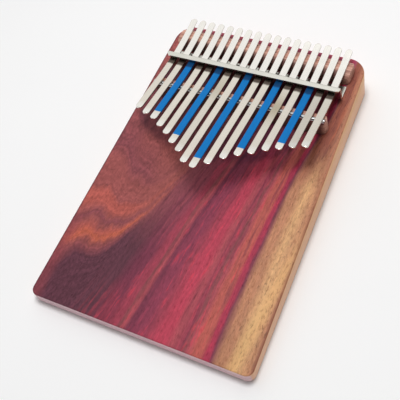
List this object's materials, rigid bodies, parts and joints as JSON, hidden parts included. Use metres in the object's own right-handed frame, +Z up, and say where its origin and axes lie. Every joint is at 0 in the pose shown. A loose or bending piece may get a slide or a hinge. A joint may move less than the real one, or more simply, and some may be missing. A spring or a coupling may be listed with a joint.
{
  "type": "board mbira",
  "caption": "Thumb piano on a solid wedge board: rounded spring-steel tines held by a slotted bracket over two wooden bridges, each free to be plucked and slid to tune.",
  "frame": {"origin": "centre of the board's flat bottom face, on the surface it rests on", "axes": "+X to the player's right, +Y along the board from the player to the bridge end, +Z up"},
  "size_m": [0.1372, 0.2032, 0.0395],
  "materials": {
    "board_wood": "oiled hardwood with red heartwood and a pale sapwood edge",
    "bridge_wood": "sanded light brown hardwood",
    "tine_steel": "nickel-bright spring steel",
    "blue_tine": "satin blue paint on the top face, bare steel at the tip",
    "rod_steel": "polished rod",
    "bracket_steel": "nickel-plated",
    "screw_steel": "plated"
  },
  "bodies": {
    "body": {"board": "board_wood", "front_bridge": "bridge_wood", "bridge_rod": "rod_steel", "rear_bridge": "bridge_wood", "tine_bracket": "bracket_steel", "bracket_screws": "screw_steel"},
    "tine_01": {"tine_01_shank": "tine_steel"},
    "tine_01_tip": {"tine_01_tongue": "tine_steel"},
    "tine_02": {"tine_02_shank": "tine_steel"},
    "tine_02_tip": {"tine_02_tongue": "tine_steel"},
    "tine_03": {"tine_03_shank": "tine_steel"},
    "tine_03_tip": {"tine_03_tongue": "blue_tine"},
    "tine_04": {"tine_04_shank": "tine_steel"},
    "tine_04_tip": {"tine_04_tongue": "tine_steel"},
    "tine_05": {"tine_05_shank": "tine_steel"},
    "tine_05_tip": {"tine_05_tongue": "tine_steel"},
    "tine_06": {"tine_06_shank": "tine_steel"},
    "tine_06_tip": {"tine_06_tongue": "blue_tine"},
    "tine_07": {"tine_07_shank": "tine_steel"},
    "tine_07_tip": {"tine_07_tongue": "tine_steel"},
    "tine_08": {"tine_08_shank": "tine_steel"},
    "tine_08_tip": {"tine_08_tongue": "tine_steel"},
    "tine_09": {"tine_09_shank": "tine_steel"},
    "tine_09_tip": {"tine_09_tongue": "blue_tine"},
    "tine_10": {"tine_10_shank": "tine_steel"},
    "tine_10_tip": {"tine_10_tongue": "tine_steel"},
    "tine_11": {"tine_11_shank": "tine_steel"},
    "tine_11_tip": {"tine_11_tongue": "tine_steel"},
    "tine_12": {"tine_12_shank": "tine_steel"},
    "tine_12_tip": {"tine_12_tongue": "blue_tine"},
    "tine_13": {"tine_13_shank": "tine_steel"},
    "tine_13_tip": {"tine_13_tongue": "tine_steel"},
    "tine_14": {"tine_14_shank": "tine_steel"},
    "tine_14_tip": {"tine_14_tongue": "tine_steel"},
    "tine_15": {"tine_15_shank": "tine_steel"},
    "tine_15_tip": {"tine_15_tongue": "blue_tine"},
    "tine_16": {"tine_16_shank": "tine_steel"},
    "tine_16_tip": {"tine_16_tongue": "tine_steel"},
    "tine_17": {"tine_17_shank": "tine_steel"},
    "tine_17_tip": {"tine_17_tongue": "tine_steel"}
  },
  "joints": [
    {"name": "pluck_01", "type": "hinge", "parent": "tine_01", "child": "tine_01_tip", "pos_m": [-0.05312, 0.04348, 0.02977], "axis": [1, 0, 0], "range_deg": [-3, 4], "stiffness_Nm_per_rad": 9.17},
    {"name": "pluck_02", "type": "hinge", "parent": "tine_02", "child": "tine_02_tip", "pos_m": [-0.04648, 0.04348, 0.02977], "axis": [1, 0, 0], "range_deg": [-3, 4], "stiffness_Nm_per_rad": 8.06},
    {"name": "pluck_03", "type": "hinge", "parent": "tine_03", "child": "tine_03_tip", "pos_m": [-0.03984, 0.04348, 0.02977], "axis": [1, 0, 0], "range_deg": [-3, 4], "stiffness_Nm_per_rad": 7.41},
    {"name": "pluck_04", "type": "hinge", "parent": "tine_04", "child": "tine_04_tip", "pos_m": [-0.0332, 0.04348, 0.02977], "axis": [1, 0, 0], "range_deg": [-3, 4], "stiffness_Nm_per_rad": 6.45},
    {"name": "pluck_05", "type": "hinge", "parent": "tine_05", "child": "tine_05_tip", "pos_m": [-0.02656, 0.04348, 0.02977], "axis": [1, 0, 0], "range_deg": [-3, 4], "stiffness_Nm_per_rad": 5.71},
    {"name": "pluck_06", "type": "hinge", "parent": "tine_06", "child": "tine_06_tip", "pos_m": [-0.01992, 0.04348, 0.02977], "axis": [1, 0, 0], "range_deg": [-3, 4], "stiffness_Nm_per_rad": 5},
    {"name": "pluck_07", "type": "hinge", "parent": "tine_07", "child": "tine_07_tip", "pos_m": [-0.01328, 0.04348, 0.02977], "axis": [1, 0, 0], "range_deg": [-3, 4], "stiffness_Nm_per_rad": 4.53},
    {"name": "pluck_08", "type": "hinge", "parent": "tine_08", "child": "tine_08_tip", "pos_m": [-0.00664, 0.04348, 0.02977], "axis": [1, 0, 0], "range_deg": [-3, 4], "stiffness_Nm_per_rad": 3.99},
    {"name": "pluck_09", "type": "hinge", "parent": "tine_09", "child": "tine_09_tip", "pos_m": [0, 0.04348, 0.02977], "axis": [1, 0, 0], "range_deg": [-3, 4], "stiffness_Nm_per_rad": 3.86},
    {"name": "pluck_10", "type": "hinge", "parent": "tine_10", "child": "tine_10_tip", "pos_m": [0.00664, 0.04348, 0.02977], "axis": [1, 0, 0], "range_deg": [-3, 4], "stiffness_Nm_per_rad": 4.26},
    {"name": "pluck_11", "type": "hinge", "parent": "tine_11", "child": "tine_11_tip", "pos_m": [0.01328, 0.04348, 0.02977], "axis": [1, 0, 0], "range_deg": [-3, 4], "stiffness_Nm_per_rad": 4.87},
    {"name": "pluck_12", "type": "hinge", "parent": "tine_12", "child": "tine_12_tip", "pos_m": [0.01992, 0.04348, 0.02977], "axis": [1, 0, 0], "range_deg": [-3, 4], "stiffness_Nm_per_rad": 5.43},
    {"name": "pluck_13", "type": "hinge", "parent": "tine_13", "child": "tine_13_tip", "pos_m": [0.02656, 0.04348, 0.02977], "axis": [1, 0, 0], "range_deg": [-3, 4], "stiffness_Nm_per_rad": 6.01},
    {"name": "pluck_14", "type": "hinge", "parent": "tine_14", "child": "tine_14_tip", "pos_m": [0.0332, 0.04348, 0.02977], "axis": [1, 0, 0], "range_deg": [-3, 4], "stiffness_Nm_per_rad": 6.92},
    {"name": "pluck_15", "type": "hinge", "parent": "tine_15", "child": "tine_15_tip", "pos_m": [0.03984, 0.04348, 0.02977], "axis": [1, 0, 0], "range_deg": [-3, 4], "stiffness_Nm_per_rad": 7.77},
    {"name": "pluck_16", "type": "hinge", "parent": "tine_16", "child": "tine_16_tip", "pos_m": [0.04648, 0.04348, 0.02977], "axis": [1, 0, 0], "range_deg": [-3, 4], "stiffness_Nm_per_rad": 8.91},
    {"name": "pluck_17", "type": "hinge", "parent": "tine_17", "child": "tine_17_tip", "pos_m": [0.05312, 0.04348, 0.02977], "axis": [1, 0, 0], "range_deg": [-3, 4], "stiffness_Nm_per_rad": 10},
    {"name": "tune_01", "type": "hinge", "parent": "body", "child": "tine_01", "pos_m": [-0.05312, 0.07692, 0.20715], "axis": [1, 0, 0], "range_deg": [-0.45, 0.45]},
    {"name": "tune_02", "type": "hinge", "parent": "body", "child": "tine_02", "pos_m": [-0.04648, 0.07692, 0.20715], "axis": [1, 0, 0], "range_deg": [-0.45, 0.45]},
    {"name": "tune_03", "type": "hinge", "parent": "body", "child": "tine_03", "pos_m": [-0.03984, 0.07692, 0.20715], "axis": [1, 0, 0], "range_deg": [-0.45, 0.45]},
    {"name": "tune_04", "type": "hinge", "parent": "body", "child": "tine_04", "pos_m": [-0.0332, 0.07692, 0.20715], "axis": [1, 0, 0], "range_deg": [-0.45, 0.45]},
    {"name": "tune_05", "type": "hinge", "parent": "body", "child": "tine_05", "pos_m": [-0.02656, 0.07692, 0.20715], "axis": [1, 0, 0], "range_deg": [-0.45, 0.45]},
    {"name": "tune_06", "type": "hinge", "parent": "body", "child": "tine_06", "pos_m": [-0.01992, 0.07692, 0.20715], "axis": [1, 0, 0], "range_deg": [-0.45, 0.45]},
    {"name": "tune_07", "type": "hinge", "parent": "body", "child": "tine_07", "pos_m": [-0.01328, 0.07692, 0.20715], "axis": [1, 0, 0], "range_deg": [-0.45, 0.45]},
    {"name": "tune_08", "type": "hinge", "parent": "body", "child": "tine_08", "pos_m": [-0.00664, 0.07692, 0.20715], "axis": [1, 0, 0], "range_deg": [-0.45, 0.45]},
    {"name": "tune_09", "type": "hinge", "parent": "body", "child": "tine_09", "pos_m": [0, 0.07692, 0.20715], "axis": [1, 0, 0], "range_deg": [-0.45, 0.45]},
    {"name": "tune_10", "type": "hinge", "parent": "body", "child": "tine_10", "pos_m": [0.00664, 0.07692, 0.20715], "axis": [1, 0, 0], "range_deg": [-0.45, 0.45]},
    {"name": "tune_11", "type": "hinge", "parent": "body", "child": "tine_11", "pos_m": [0.01328, 0.07692, 0.20715], "axis": [1, 0, 0], "range_deg": [-0.45, 0.45]},
    {"name": "tune_12", "type": "hinge", "parent": "body", "child": "tine_12", "pos_m": [0.01992, 0.07692, 0.20715], "axis": [1, 0, 0], "range_deg": [-0.45, 0.45]},
    {"name": "tune_13", "type": "hinge", "parent": "body", "child": "tine_13", "pos_m": [0.02656, 0.07692, 0.20715], "axis": [1, 0, 0], "range_deg": [-0.45, 0.45]},
    {"name": "tune_14", "type": "hinge", "parent": "body", "child": "tine_14", "pos_m": [0.0332, 0.07692, 0.20715], "axis": [1, 0, 0], "range_deg": [-0.45, 0.45]},
    {"name": "tune_15", "type": "hinge", "parent": "body", "child": "tine_15", "pos_m": [0.03984, 0.07692, 0.20715], "axis": [1, 0, 0], "range_deg": [-0.45, 0.45]},
    {"name": "tune_16", "type": "hinge", "parent": "body", "child": "tine_16", "pos_m": [0.04648, 0.07692, 0.20715], "axis": [1, 0, 0], "range_deg": [-0.45, 0.45]},
    {"name": "tune_17", "type": "hinge", "parent": "body", "child": "tine_17", "pos_m": [0.05312, 0.07692, 0.20715], "axis": [1, 0, 0], "range_deg": [-0.45, 0.45]}
  ]
}
